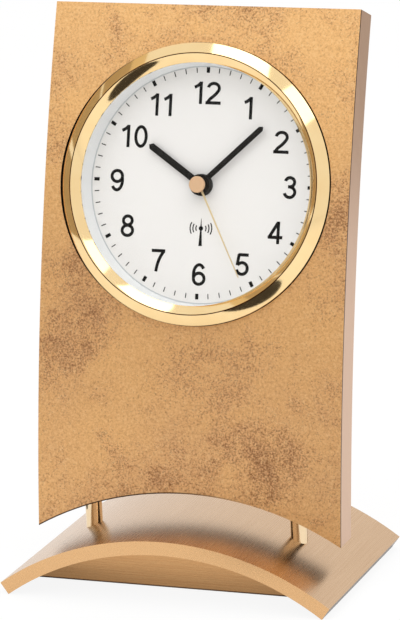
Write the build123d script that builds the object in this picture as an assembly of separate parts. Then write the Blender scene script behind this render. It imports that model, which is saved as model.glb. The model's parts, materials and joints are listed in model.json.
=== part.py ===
"""Table clock: a curved board on an arched foot, with a radio-controlled two-motor movement."""
from math import asin, cos, degrees, pi, radians, sin, sqrt
import os

from build123d import *

# Driving dimensions in millimetres and degrees
# Stand: an arched plate, a weight block under it and two short posts
total_height = 200.0
foot_inner_radius = 100.0
foot_thickness = 5.0
foot_inner_span = 116.4
foot_depth = 82.0
block_front_setback = 20.4
block_end_trim = 3.0
felt_thickness = 0.5
board_gap = 8.6
post_radius = 3.0
post_side_inset = 18.05
post_setback = 7.8
post_foot_sink = 1.8
post_head_sink = 3.4
post_spigot_radius = 1.5
post_spigot_length = 8.0
screw_radius = 1.5
screw_head_radius = 2.75
screw_head_height = 2.0
screw_head_sink = 1.2
screw_bite = 8.0
screw_clearance = 0.1

# Curved board with a thin metal sheet on its front
board_thickness = 12.0
sheet_thickness = 0.8
board_front_radius = 700.0
board_top_lean = 20.2
board_setback = 27.1

# Dial window: bezel, lens, white wall ring and dial, on an axis square to the board
dial_top_margin = 10.45
dial_side_margin = 7.1
bezel_lip_radius = 42.7
bezel_lip_height = 0.95
bezel_width = 6.95
bezel_crown = 3.35
bezel_edge_height = 0.45
bezel_seat_depth = 2.4
bezel_groove_inset = 3.0
bezel_groove_width = 0.35
hole_side_gap = 0.75
hole_top_gap = 0.2
hole_shift = 0.35
lens_overlap = 3.0
lens_thickness = 1.6
gasket_thickness = 0.3
gasket_width = 2.6
lens_drop = 0.3
wall_ring_flare = 0.8
wall_ring_draft = 1.5
ring_clearance = 0.3
dial_depth = 8.0
dial_thickness = 0.5
back_wall = 3.0
washer_radius = 9.0
washer_thickness = 0.5

# Centre stack: bush, hour tube, minute tube and second arbor
running_clearance = 0.03
second_arbor_radius = 0.5
minute_tube_radius = 1.3
hour_tube_radius = 2.1
bush_radius = 2.9
bush_clearance = 0.4
bush_length = 5.1
nut_radius = 3.9
nut_height = 1.0

# Hands, set to nearly eight minutes past ten; the second hand steps by itself
shown_hour = 10
shown_minute = 7.75
shown_second = 25.5
hand_thickness = 0.4
hand_hub_radius = 3.75
hub_height = 0.9
hand_point = 1.1
hour_tip_gap = 17.7
hour_hand_width = 2.4
hour_hand_height = 1.4
minute_tip_gap = 11.2
minute_hand_width = 1.95
minute_hand_height = 2.45
second_tip_gap = 6.0
second_hand_width = 0.7
second_hand_tip_width = 0.3
second_hand_height = 3.3
second_cap_radius = 2.9
second_cap_height = 2.6
second_cap_rim = 0.9
second_cap_stem_radius = 1.2

# Movement case
movement_width = 57.0
movement_depth = 17.0
case_wall = 1.0
front_wall = 0.9
main_plate_thickness = 0.6
cover_thickness = 1.5
pocket_clearance = 0.4
corner_radius = 3.0

# Gear trains
tooth_module = 0.25
hour_stage_module = 0.24
centre_teeth = 60
small_pinion_teeth = 10
train_wheel_teeth = 50
cannon_teeth = 12
change_teeth = 36
hour_teeth = 40
wheel_thickness = 0.7
addendum_share = 0.75
dedendum_share = 1.2
tooth_tip_share = 0.17
tooth_root_share = 0.52
train_angle = 20.0
rotor_angle = 30.0
hour_level = 1.9
cannon_level = 2.9
minute_level = 4.3
third_level = 5.4
second_level = 7.2
intermediate_level = 8.3
level_overlap = 0.1
level_gap = 0.2
pin_radius = 0.5
pin_shoulder_radius = 0.8

# Step motors
rotor_radius = 1.8
rotor_sleeve_radius = 0.85
magnet_level = 6.5
magnet_height = 1.5
stator_level = 6.7
stator_thickness = 1.0
stator_bore = 2.3
stator_bar_width = 6.8
stator_leg_width = 3.4
stator_height = 16.5
coil_offset = 7.3
core_width = 2.4
core_thickness = 1.0
bobbin_radius = 1.7
bobbin_flange_radius = 2.9
bobbin_flange = 0.5
coil_radius = 2.6

# Plates, circuit board and antenna
train_plate_level = 9.6
train_plate_thickness = 1.0
train_plate_width = 34.0
train_plate_foot = 9.4
train_plate_top = 15.4
pillar_radius = 1.6
upper_pillar_height = 13.4
lower_pillar_spread = 11.0
lower_pillar_drop = 7.4
small_screw_radius = 0.7
small_screw_head_radius = 1.3
small_screw_head_height = 0.8
small_screw_length = 4.0
circuit_level = 11.8
circuit_thickness = 1.0
plate_clearance = 0.4
circuit_pillar_inset = 2.9
circuit_pillar_radius = 1.3
circuit_pillar_drop = 8.0
circuit_pillar_rise = 17.2
chip_size = 8.0
chip_height = 1.2
chip_place = (-8.0, 16.0)
crystal_radius = 1.1
crystal_length = 6.2
crystal_place = (9.0, 11.0)
antenna_radius = 3.0
antenna_length = 46.0
antenna_height = 22.4
antenna_coil_radius = 3.9
antenna_coil_length = 26.0
antenna_saddle_width = 3.0

# Battery bay, open at the back
cell_radius = 7.25
cell_length = 49.2
cell_nub_radius = 2.75
cell_nub_height = 1.3
cell_gap = 0.25
bay_wall = 1.0
bay_side_gap = 0.5
contact_thickness = 0.4
contact_width = 9.0
spring_wire_radius = 0.3
spring_radius = 3.2
spring_turns = 2.5
spring_pitch = 1.1

# Push buttons in the back cover
button_radius = 2.2
button_rise = 1.2
button_travel = 0.6
button_flange = 0.7
button_flange_height = 0.6
button_clearance = 0.1
button_spacing = 13.0
button_row_height = 2.5
switch_size = 5.0
switch_height = 1.0

# Places that follow from the driving dimensions
bezel_radius = bezel_lip_radius + bezel_width
bezel_groove_radius = bezel_lip_radius + bezel_groove_inset
lens_radius = bezel_lip_radius + lens_overlap
wall_ring_radius = lens_radius + ring_clearance
wall_ring_mouth = bezel_lip_radius + wall_ring_flare
wall_ring_inner = wall_ring_mouth - wall_ring_draft
hour_hand_length = wall_ring_inner - hour_tip_gap
minute_hand_length = wall_ring_inner - minute_tip_gap
second_hand_length = wall_ring_inner - second_tip_gap
dial_height = total_height - dial_top_margin - bezel_radius
board_width = 2 * (bezel_radius + dial_side_margin)
foot_centre = -sqrt(foot_inner_radius ** 2 - (foot_inner_span / 2) ** 2)
foot_outer_radius = foot_inner_radius + foot_thickness
foot_half_angle = degrees(asin(foot_inner_span / 2 / foot_inner_radius))
arch_radius = foot_outer_radius + board_gap
board_axis_z = total_height - board_front_radius * sin(radians(board_top_lean))
board_corner_z = foot_centre + sqrt(arch_radius ** 2 - (board_width / 2) ** 2)
board_corner_lean = asin((board_corner_z - board_axis_z) / board_front_radius)
board_axis_y = board_setback - foot_depth / 2 + board_front_radius * cos(board_corner_lean)
board_bottom_lean = degrees(asin(-board_axis_z / board_front_radius))
dial_lean = asin((dial_height - board_axis_z) / board_front_radius)
dial_origin_y = board_axis_y - board_front_radius * cos(dial_lean)
dial_frame = Plane(
    origin=(0, dial_origin_y, dial_height),
    x_dir=(1, 0, 0),
    z_dir=(0, -cos(dial_lean), sin(dial_lean)),
)
dial_floor = -dial_depth - dial_thickness
pocket_floor = dial_floor - back_wall
movement_front = pocket_floor - washer_thickness
movement_half = movement_width / 2
inner_half = movement_half - case_wall
cover_level = movement_depth - cover_thickness
plate_face = front_wall + main_plate_thickness
bay_top = -inner_half + 2 * cell_radius + 2 * bay_side_gap
partition_top = bay_top + bay_wall
cell_place = (bay_top - inner_half) / 2
cell_level = front_wall + cell_gap + cell_radius
train_reach = tooth_module * (centre_teeth + small_pinion_teeth) / 2
rotor_reach = tooth_module * (train_wheel_teeth + small_pinion_teeth) / 2
change_reach = tooth_module * (cannon_teeth + change_teeth) / 2
arbor_bore = second_arbor_radius + running_clearance
pin_bore = pin_radius + running_clearance
train_plate_back = train_plate_level + train_plate_thickness
circuit_back = circuit_level + circuit_thickness
core_level = stator_level + stator_thickness
post_spacing = board_width - 2 * post_side_inset
post_y = board_axis_y - sqrt(
    (board_front_radius - post_setback) ** 2 - (board_corner_z + board_gap - board_axis_z) ** 2
)


def on_circle(reach, angle, start=(0.0, 0.0)):
    return (start[0] + reach * cos(radians(angle)), start[1] + reach * sin(radians(angle)))


second_side = on_circle(train_reach, 180 - train_angle)
minute_side = on_circle(train_reach, train_angle)
second_rotor_place = on_circle(rotor_reach, 180 - rotor_angle, second_side)
minute_rotor_place = on_circle(rotor_reach, rotor_angle, minute_side)
change_place = (0.0, change_reach)
plate_screw_places = (
    (0.0, upper_pillar_height),
    (-lower_pillar_spread, -lower_pillar_drop),
    (lower_pillar_spread, -lower_pillar_drop),
)
circuit_reach = inner_half - circuit_pillar_inset
circuit_screw_places = tuple(
    (side * circuit_reach, height)
    for side in (-1, 1)
    for height in (-circuit_pillar_drop, circuit_pillar_rise)
)
button_places = tuple((step * button_spacing, button_row_height) for step in (-1, 0, 1))


# Shapes in the dial frame: first two axes across and up the dial, third towards the viewer
def disc(radius, low, high, place=(0.0, 0.0)):
    return Pos(place[0], place[1], (low + high) / 2) * Cylinder(radius, high - low)


def ring(outer, inner, low, high, place=(0.0, 0.0)):
    return disc(outer, low, high, place) - disc(inner, low, high, place)


def slab(left, right, bottom, top, low, high):
    centre = ((left + right) / 2, (bottom + top) / 2, (low + high) / 2)
    return Pos(*centre) * Box(right - left, top - bottom, high - low)


def rounded_slab(width, low, high, radius):
    return Pos(0, 0, low) * extrude(RectangleRounded(width, width, radius), high - low)


# A level counts backwards from the movement's front face
def level(depth):
    return movement_front - depth


def deep_disc(radius, front, back, place=(0.0, 0.0)):
    return disc(radius, level(back), level(front), place)


def deep_ring(outer, inner, front, back, place=(0.0, 0.0)):
    return ring(outer, inner, level(back), level(front), place)


def deep_slab(left, right, bottom, top, front, back):
    return slab(left, right, bottom, top, level(back), level(front))


# Gears: straight-sided teeth with room to run
def gear(teeth, module, front, back, place, phase):
    pitch_radius = teeth * module / 2
    tip_radius = pitch_radius + addendum_share * module
    root_radius = pitch_radius - dedendum_share * module
    step = 360 / teeth
    corners = (
        (root_radius, -tooth_root_share / 2),
        (tip_radius, -tooth_tip_share / 2),
        (tip_radius, tooth_tip_share / 2),
        (root_radius, tooth_root_share / 2),
    )
    points = [
        on_circle(radius, phase + step * (number + share))
        for number in range(teeth)
        for radius, share in corners
    ]
    return Pos(*place, level(back)) * extrude(Polygon(*points, align=None), back - front)


def meshing_phase(teeth, phase, direction, other_teeth):
    turned = (phase - direction) * teeth / other_teeth
    return direction + 180 + 180 / other_teeth - turned


# Stand
def foot_profile(radius_low, radius_high, half_angle):
    start = 90 - half_angle
    outer = CenterArc((0, foot_centre), radius_high, start, 2 * half_angle)
    inner = CenterArc((0, foot_centre), radius_low, start, 2 * half_angle)
    ends = Line(outer @ 0, inner @ 0) + Line(outer @ 1, inner @ 1)
    return make_face(outer + inner + ends)


def foot_surface(radius, across):
    return foot_centre + sqrt(radius ** 2 - across ** 2)


post_seat = foot_surface(foot_outer_radius, post_spacing / 2) - post_foot_sink
post_top = foot_surface(arch_radius, post_spacing / 2) + post_head_sink
screw_head_seat = felt_thickness + screw_head_sink + screw_head_height


def upright(radius, low, high, side):
    return Pos(side * post_spacing / 2, post_y, (low + high) / 2) * Cylinder(radius, high - low)


def foot_arch():
    plate = extrude(Plane.XZ * foot_profile(foot_inner_radius, foot_outer_radius, foot_half_angle),
                    foot_depth / 2, both=True)
    for side in (-1, 1):
        plate -= upright(post_radius, post_seat, post_top, side)
        plate -= upright(screw_radius + screw_clearance, 0, post_seat, side)
    return plate


def foot_block():
    half_length = foot_inner_span / 2 - block_end_trim
    half_depth = foot_depth / 2 - block_front_setback
    height = foot_inner_radius + foot_centre
    core = Pos(0, 0, felt_thickness + height / 2) * Box(2 * half_length, 2 * half_depth, height)
    under_arch = Pos(0, 0, foot_centre) * Rot(90, 0, 0) * Cylinder(foot_inner_radius, foot_depth)
    block = core & under_arch
    for side in (-1, 1):
        block -= upright(screw_head_radius + screw_clearance, 0, screw_head_seat, side)
        block -= upright(screw_radius + screw_clearance, screw_head_seat, post_seat, side)
    return block


def base_felt():
    half_length = foot_inner_span / 2 - block_end_trim
    half_depth = foot_depth / 2 - block_front_setback
    return Pos(0, 0, felt_thickness / 2) * Box(2 * half_length, 2 * half_depth, felt_thickness)


def post(side):
    body = upright(post_radius, post_seat, post_top, side)
    body += upright(post_spigot_radius, post_top, post_top + post_spigot_length, side)
    return body - upright(screw_radius, post_seat, post_seat + screw_bite, side)


def post_screws():
    screws = []
    for side in (-1, 1):
        head = upright(screw_head_radius, screw_head_seat - screw_head_height, screw_head_seat, side)
        screws.append(head + upright(screw_radius, screw_head_seat, post_seat + screw_bite, side))
    return screws


# Board
def board_slice(front_depth, back_depth):
    start = 180 - board_top_lean
    sweep_angle = board_top_lean - board_bottom_lean
    centre = (board_axis_y, board_axis_z)
    front = CenterArc(centre, board_front_radius - front_depth, start, sweep_angle)
    back = CenterArc(centre, board_front_radius - back_depth, start, sweep_angle)
    ends = Line(front @ 0, back @ 0) + Line(front @ 1, back @ 1)
    solid = extrude(Plane.YZ * make_face(front + back + ends), board_width / 2, both=True)
    return solid - Pos(0, 0, foot_centre) * Rot(90, 0, 0) * Cylinder(arch_radius, 4 * foot_depth)


def in_dial_frame(shape):
    return dial_frame.location * shape


# the hole round the bezel is a little wider than tall, and sits a little to the left
def dial_hole(low, high):
    outline = Ellipse(bezel_radius + hole_side_gap, bezel_radius + hole_top_gap)
    return Pos(-hole_shift, 0, low) * extrude(outline, high - low)


def case_board():
    board = board_slice(sheet_thickness, board_thickness)
    cuts = dial_hole(-bezel_seat_depth, bezel_crown)
    cuts += disc(wall_ring_radius + ring_clearance, dial_floor, -bezel_seat_depth)
    cuts += disc(bush_radius + bush_clearance, pocket_floor, dial_floor)
    cuts += rounded_slab(movement_width + 2 * pocket_clearance, level(movement_depth), pocket_floor,
                         corner_radius + pocket_clearance)
    board -= in_dial_frame(cuts)
    for side in (-1, 1):
        board -= upright(post_radius, 0, post_top, side)
        board -= upright(post_spigot_radius, post_top, post_top + post_spigot_length, side)
    return board


def front_sheet():
    return board_slice(0, sheet_thickness) - in_dial_frame(dial_hole(-board_thickness, bezel_crown))


# Dial window
def turned(outline):
    return revolve(Plane.XZ * make_face(outline), Axis.Z)


def bezel_ring():
    skirt_inner = wall_ring_radius + ring_clearance
    groove_outer = bezel_groove_radius + bezel_groove_width
    groove_bottom = (bezel_groove_radius + bezel_groove_width / 2, bezel_crown - bezel_groove_width)
    outline = Polyline(
        (skirt_inner, lens_drop),
        (bezel_lip_radius, lens_drop),
        (bezel_lip_radius, bezel_lip_height),
        (bezel_groove_radius, bezel_crown),
        groove_bottom,
        (groove_outer, bezel_crown),
        (bezel_radius, bezel_edge_height),
        (bezel_radius, -bezel_seat_depth),
        (skirt_inner, -bezel_seat_depth),
        close=True,
    )
    return turned(outline)


lens_front = lens_drop - gasket_thickness
lens_back = lens_front - lens_thickness


def lens_gasket():
    return ring(lens_radius, lens_radius - gasket_width, lens_front, lens_drop)


def lens():
    return disc(lens_radius, lens_back, lens_front)


def dial_ring():
    outline = Polyline(
        (wall_ring_inner, -dial_depth),
        (wall_ring_radius, -dial_depth),
        (wall_ring_radius, lens_back),
        (wall_ring_mouth, lens_back),
        close=True,
    )
    return turned(outline)


def dial():
    return ring(wall_ring_radius, bush_radius + bush_clearance, dial_floor, -dial_depth)


def bush_nut():
    return ring(nut_radius, bush_radius, -dial_depth, nut_height - dial_depth)


def movement_washer():
    return ring(washer_radius, bush_radius + bush_clearance, movement_front, pocket_floor)


# Hands
def hand_blade(length, width, tip_width, point, height, angle):
    outline = Polygon(
        (-width / 2, 0),
        (width / 2, 0),
        (tip_width / 2, length - point),
        (0, length),
        (-tip_width / 2, length - point),
        align=None,
    )
    blade = Pos(0, 0, height - dial_depth) * extrude(outline, hand_thickness)
    return Rot(0, 0, -angle) * blade


def hub(radius, bore, height, thickness):
    low = height - (thickness - hand_thickness) / 2 - dial_depth
    return ring(radius, bore, low, low + thickness)


minute_angle = 6 * shown_minute
hour_angle = 30 * (shown_hour + minute_angle / 360)
second_angle = 6 * shown_second


def hour_hand():
    blade = hand_blade(hour_hand_length, hour_hand_width, hour_hand_width, hand_point, hour_hand_height,
                       hour_angle)
    bore = disc(hour_tube_radius, -dial_depth, 0)
    return blade + hub(hand_hub_radius, hour_tube_radius, hour_hand_height, hub_height) - bore


def minute_hand():
    blade = hand_blade(minute_hand_length, minute_hand_width, minute_hand_width, hand_point, minute_hand_height,
                       minute_angle)
    bore = disc(minute_tube_radius, -dial_depth, 0)
    return blade + hub(hand_hub_radius, minute_tube_radius, minute_hand_height, hub_height) - bore


def second_hand():
    blade = hand_blade(second_hand_length, second_hand_width, second_hand_tip_width, second_hand_width,
                       second_hand_height, second_angle)
    collar_radius = second_cap_radius / 2
    bore = disc(second_arbor_radius, -dial_depth, 0)
    return blade + hub(collar_radius, second_arbor_radius, second_hand_height, hand_thickness) - bore


second_cap_low = second_hand_height + hand_thickness - dial_depth


def second_cap():
    cap_top = second_cap_low + second_cap_height
    cap = disc(second_cap_radius, cap_top - second_cap_rim, cap_top)
    rim = cap.edges().filter_by(GeomType.CIRCLE).sort_by(Axis.Z)[-1]
    cap = fillet(rim, second_cap_rim / 3)
    cap += disc(second_cap_stem_radius, second_cap_low, cap_top - second_cap_rim)
    return cap - disc(second_arbor_radius, second_cap_low, second_arbor_front)


second_arbor_front = second_cap_low + second_cap_height / 2
hour_tube_front = hour_hand_height + (hub_height + hand_thickness) / 2 - dial_depth
minute_tube_front = minute_hand_height + (hub_height + hand_thickness) / 2 - dial_depth


# Wheels on the centre axis
def hour_wheel():
    phase = meshing_phase(small_pinion_teeth, change_pinion_phase, -90, hour_teeth)
    wheel = gear(hour_teeth, hour_stage_module, hour_level, hour_level + wheel_thickness, (0, 0), phase)
    tube = disc(hour_tube_radius, level(hour_level + wheel_thickness), hour_tube_front)
    bore = disc(minute_tube_radius + running_clearance, level(movement_depth), 0)
    return wheel + tube - bore


def minute_wheel():
    back = minute_level + wheel_thickness
    wheel = gear(centre_teeth, tooth_module, minute_level, back, (0, 0), 0)
    pinion = gear(cannon_teeth, tooth_module, cannon_level, minute_level, (0, 0), 0)
    tube = disc(minute_tube_radius, level(cannon_level), minute_tube_front)
    bore = disc(arbor_bore, level(movement_depth), 0)
    return wheel + pinion + tube - bore


def second_wheel():
    back = second_level + wheel_thickness
    wheel = gear(centre_teeth, tooth_module, second_level, back, (0, 0), 0)
    boss = deep_disc(2 * second_arbor_radius, minute_level + wheel_thickness + level_gap,
                     train_plate_level - level_gap)
    return wheel + boss - disc(second_arbor_radius, level(movement_depth), 0)


def second_arbor():
    return disc(second_arbor_radius, level(train_plate_back), second_arbor_front)


# Wheels on fixed pins
second_train_direction = 180 - train_angle
minute_train_direction = train_angle
intermediate_pinion_phase = meshing_phase(centre_teeth, 0, second_train_direction, small_pinion_teeth)
third_pinion_phase = meshing_phase(centre_teeth, 0, minute_train_direction, small_pinion_teeth)
change_wheel_phase = meshing_phase(cannon_teeth, 0, 90, change_teeth)
change_pinion_phase = -90.0


def pin_wheel(place, teeth, wheel_front, wheel_phase, pinion_front, pinion_back, pinion_phase, module):
    wheel_back = wheel_front + wheel_thickness
    wheel = gear(teeth, tooth_module, wheel_front, wheel_back, place, wheel_phase)
    pinion = gear(small_pinion_teeth, module, pinion_front, pinion_back, place, pinion_phase)
    return wheel + pinion - deep_disc(pin_bore, 0, movement_depth, place)


def intermediate_wheel():
    return pin_wheel(second_side, train_wheel_teeth, intermediate_level, 0, second_level - level_overlap,
                     intermediate_level, intermediate_pinion_phase, tooth_module)


def third_wheel():
    return pin_wheel(minute_side, train_wheel_teeth, third_level, 0, minute_level - level_overlap,
                     third_level, third_pinion_phase, tooth_module)


def change_wheel():
    return pin_wheel(change_place, change_teeth, cannon_level, change_wheel_phase, hour_level - level_overlap,
                     cannon_level, change_pinion_phase, hour_stage_module)


# Step motors
second_rotor_phase = meshing_phase(train_wheel_teeth, 0, 180 - rotor_angle, small_pinion_teeth)
minute_rotor_phase = meshing_phase(train_wheel_teeth, 0, rotor_angle, small_pinion_teeth)
magnet_back = magnet_level + magnet_height
second_pinion_back = intermediate_level + wheel_thickness + level_overlap
minute_pinion_front = third_level - level_overlap


def rotor_magnet(place):
    return deep_ring(rotor_radius, rotor_sleeve_radius, magnet_level, magnet_back, place)


def second_rotor_pinion():
    place = second_rotor_place
    teeth = gear(small_pinion_teeth, tooth_module, magnet_back, second_pinion_back, place, second_rotor_phase)
    sleeve = deep_disc(rotor_sleeve_radius, magnet_level, magnet_back, place)
    return teeth + sleeve - deep_disc(pin_bore, 0, movement_depth, place)


def minute_rotor_pinion():
    place = minute_rotor_place
    teeth = gear(small_pinion_teeth, tooth_module, minute_pinion_front, magnet_level, place, minute_rotor_phase)
    sleeve = deep_disc(rotor_sleeve_radius, magnet_level, magnet_back, place)
    return teeth + sleeve - deep_disc(pin_bore, 0, movement_depth, place)


def coil_place(rotor_place, side):
    return rotor_place[0] + side * coil_offset


def stator(rotor_place, side):
    middle, height = rotor_place
    bottom = height - stator_height / 2
    top = height + stator_height / 2
    inner = middle - side * stator_bar_width / 2
    outer = middle + side * stator_bar_width / 2
    leg_end = coil_place(rotor_place, side) + side * bobbin_radius
    back = stator_level + stator_thickness
    bar = deep_slab(min(inner, outer), max(inner, outer), bottom, top, stator_level, back)
    left = min(inner, leg_end)
    right = max(inner, leg_end)
    bar += deep_slab(left, right, bottom, bottom + stator_leg_width, stator_level, back)
    bar += deep_slab(left, right, top - stator_leg_width, top, stator_level, back)
    return bar - deep_disc(stator_bore, 0, movement_depth, rotor_place)


def along_height(radius, low, high, across, depth):
    return Pos(across, (low + high) / 2, level(depth)) * Rot(90, 0, 0) * Cylinder(radius, high - low)


def coil_core(rotor_place, side):
    across = coil_place(rotor_place, side)
    bottom = rotor_place[1] - stator_height / 2
    return deep_slab(across - core_width / 2, across + core_width / 2, bottom, bottom + stator_height,
                     core_level, core_level + core_thickness)


def coil_bobbin(rotor_place, side):
    across = coil_place(rotor_place, side)
    depth = core_level + core_thickness / 2
    half = stator_height / 2 - stator_leg_width - level_gap
    low = rotor_place[1] - half
    high = rotor_place[1] + half
    bobbin = along_height(bobbin_radius, low, high, across, depth)
    bobbin += along_height(bobbin_flange_radius, low, low + bobbin_flange, across, depth)
    bobbin += along_height(bobbin_flange_radius, high - bobbin_flange, high, across, depth)
    return bobbin - coil_core(rotor_place, side)


def coil_winding(rotor_place, side):
    across = coil_place(rotor_place, side)
    depth = core_level + core_thickness / 2
    half = stator_height / 2 - stator_leg_width - level_gap - bobbin_flange
    low = rotor_place[1] - half
    high = rotor_place[1] + half
    return along_height(coil_radius, low, high, across, depth) - along_height(bobbin_radius, low, high, across,
                                                                            depth)


# Movement case, plates and electronics
def movement_housing():
    shell = rounded_slab(movement_width, level(cover_level), movement_front, corner_radius)
    hollow_corner = corner_radius - case_wall
    shell -= rounded_slab(movement_width - 2 * case_wall, level(movement_depth), level(front_wall), hollow_corner)
    shell += deep_slab(-inner_half, inner_half, bay_top, partition_top, front_wall, cover_level)
    shell += disc(bush_radius, movement_front, movement_front + bush_length)
    return shell - disc(hour_tube_radius + running_clearance, level(front_wall), 0)


# A flat plate that fills the housing above the battery bay, with the housing's round corners
def inner_plate(front, back):
    half = inner_half - plate_clearance
    plate = deep_slab(-half, half, partition_top + plate_clearance, half, front, back)
    top_corners = plate.edges().filter_by(Axis.Z).sort_by(Axis.Y)[-2:]
    return fillet(top_corners, corner_radius - case_wall)


def shouldered_pin(place, shoulder_back, pin_back):
    return deep_disc(pin_shoulder_radius, plate_face, shoulder_back, place) + deep_disc(
        pin_radius, plate_face, pin_back, place)


def main_plate():
    plate = inner_plate(front_wall, plate_face)
    plate += shouldered_pin(change_place, hour_level - level_gap, cannon_level + wheel_thickness + level_gap)
    plate += shouldered_pin(minute_side, minute_level - 2 * level_gap, train_plate_level)
    plate += shouldered_pin(second_side, second_level - 2 * level_gap, train_plate_level)
    plate += shouldered_pin(second_rotor_place, magnet_level - level_gap, train_plate_level)
    plate += shouldered_pin(minute_rotor_place, minute_pinion_front - level_gap, train_plate_level)
    for place in plate_screw_places:
        plate += deep_disc(pillar_radius, plate_face, train_plate_level, place)
        plate -= deep_disc(small_screw_radius, train_plate_back - small_screw_length, train_plate_level, place)
    for place in circuit_screw_places:
        plate += deep_disc(circuit_pillar_radius, plate_face, circuit_level, place)
        plate -= deep_disc(small_screw_radius, circuit_back - small_screw_length, circuit_level, place)
    for rotor_place, side in motor_sides:
        plate += stator_rests(rotor_place, side)
    for side in (-1, 1):
        plate += antenna_saddle(side)
    return plate - disc(hour_tube_radius + running_clearance, level(plate_face), 0)


def stator_rests(rotor_place, side):
    across = coil_place(rotor_place, side) - side * bobbin_flange_radius
    reach = stator_height / 2 - stator_leg_width / 2
    rests = []
    for end in (-1, 1):
        place = (across, rotor_place[1] + end * reach)
        rests.append(deep_disc(pin_shoulder_radius, plate_face, stator_level, place))
    return rests


def antenna_saddle(side):
    middle = side * (antenna_coil_length / 2 + antenna_saddle_width)
    low = antenna_height - antenna_radius
    high = antenna_height + antenna_radius
    depth = antenna_level()
    block = deep_slab(middle - antenna_saddle_width / 2, middle + antenna_saddle_width / 2, low, high,
                      plate_face, depth)
    return block - antenna_rod()


def antenna_level():
    return plate_face + antenna_coil_radius + level_gap


def along_width(radius, left, right, height, depth):
    return Pos((left + right) / 2, height, level(depth)) * Rot(0, 90, 0) * Cylinder(radius, right - left)


def antenna_rod():
    half = antenna_length / 2
    return along_width(antenna_radius, -half, half, antenna_height, antenna_level())


def antenna_coil():
    half = antenna_coil_length / 2
    outer = along_width(antenna_coil_radius, -half, half, antenna_height, antenna_level())
    return outer - antenna_rod()


def train_plate():
    half = train_plate_width / 2
    plate = deep_slab(-half, half, -train_plate_foot, train_plate_top, train_plate_level, train_plate_back)
    plate += deep_disc(pin_shoulder_radius, third_level + wheel_thickness + level_gap, train_plate_level,
                       minute_side)
    plate += deep_disc(pin_shoulder_radius, magnet_back + level_gap, train_plate_level, minute_rotor_place)
    plate -= deep_disc(pin_radius, 0, train_plate_level, minute_side)
    plate -= deep_disc(pin_radius, 0, train_plate_level, minute_rotor_place)
    plate -= deep_disc(arbor_bore, 0, movement_depth)
    for place in plate_screw_places:
        plate -= deep_disc(small_screw_radius, 0, movement_depth, place)
    return plate


def small_screws(places, seat):
    screws = []
    for place in places:
        head = deep_disc(small_screw_head_radius, seat, seat + small_screw_head_height, place)
        screws.append(head + deep_disc(small_screw_radius, seat - small_screw_length, seat, place))
    return screws


def circuit_board():
    board = inner_plate(circuit_level, circuit_back)
    for place in circuit_screw_places:
        board -= deep_disc(small_screw_radius, 0, movement_depth, place)
    return board


def control_chip():
    left = chip_place[0] - chip_size / 2
    bottom = chip_place[1] - chip_size / 2
    return deep_slab(left, left + chip_size, bottom, bottom + chip_size, circuit_back, circuit_back + chip_height)


def quartz_crystal():
    left = crystal_place[0] - crystal_length / 2
    return along_width(crystal_radius, left, left + crystal_length, crystal_place[1],
                       circuit_back + crystal_radius)


def movement_cover():
    cover = rounded_slab(movement_width, level(movement_depth), level(cover_level), corner_radius)
    cover -= deep_slab(-movement_half, movement_half, -movement_half, partition_top - bay_wall, 0, movement_depth)
    for place in button_places:
        cover -= deep_disc(button_radius + button_clearance, 0, movement_depth, place)
    return cover


# Battery bay
def battery():
    left = -inner_half + contact_thickness + spring_length() + cell_gap
    right = left + cell_length
    cell = along_width(cell_radius, left, right, cell_place, cell_level)
    return cell + along_width(cell_nub_radius, right, right + cell_nub_height, cell_place, cell_level)


def contact_plate(left):
    half = contact_width / 2
    return deep_slab(left, left + contact_thickness, cell_place - half, cell_place + half, front_wall,
                     cell_level + half)


def spring_length():
    return spring_turns * spring_pitch + 2 * spring_wire_radius


def helix_point(turn):
    angle = 2 * pi * turn
    start = -inner_half + contact_thickness + spring_wire_radius
    return Vector(
        start + spring_pitch * turn,
        cell_place + spring_radius * cos(angle),
        level(cell_level) + spring_radius * sin(angle),
    )


def helix_direction(turn):
    angle = 2 * pi * turn
    rise = spring_pitch / (2 * pi)
    return Vector(rise, -spring_radius * sin(angle), spring_radius * cos(angle)).normalized()


def two_arcs(start, start_direction, end, end_direction):
    across = end - start
    both = start_direction + end_direction
    square = 2 * (start_direction.dot(end_direction) - 1)
    slope = -2 * across.dot(both)
    reach = (-slope - sqrt(slope ** 2 - 4 * square * across.dot(across))) / (2 * square)
    first = start + start_direction * reach
    last = end - end_direction * reach
    middle = (first + last) * 0.5
    return [TangentArc(start, middle, tangent=start_direction), TangentArc(middle, end, tangent=last - first)]


def battery_spring():
    quarters = round(spring_turns * 4)
    turns = [number / 4 for number in range(quarters + 1)]
    arcs = []
    for first, last in zip(turns, turns[1:]):
        arcs += two_arcs(helix_point(first), helix_direction(first), helix_point(last), helix_direction(last))
    path = Wire(arcs)
    section = Plane(origin=path @ 0, z_dir=path % 0) * Circle(spring_wire_radius)
    return sweep(section, path=path)


def spring_self_gap():
    samples = 64
    steps = [number / samples for number in range(round(spring_turns * samples) + 1)]
    points = [helix_point(turn) for turn in steps]
    nearest = min(
        (points[first] - points[last]).length
        for first in range(len(points))
        for last in range(first + samples // 2, len(points))
    )
    return nearest - 2 * spring_wire_radius


# Buttons and their switches
switch_back = circuit_back + switch_height


def button(place):
    flange_front = switch_back + button_travel + level_overlap
    stem = deep_disc(button_radius, flange_front, movement_depth + button_rise, place)
    return stem + deep_disc(button_radius + button_flange, flange_front, flange_front + button_flange_height, place)


def button_switches():
    half = switch_size / 2
    return [
        deep_slab(place[0] - half, place[0] + half, place[1] - half, place[1] + half, circuit_back, switch_back)
        for place in button_places
    ]


motor_sides = ((second_rotor_place, -1), (minute_rotor_place, 1))
positive_contact_left = inner_half - contact_thickness

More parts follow.
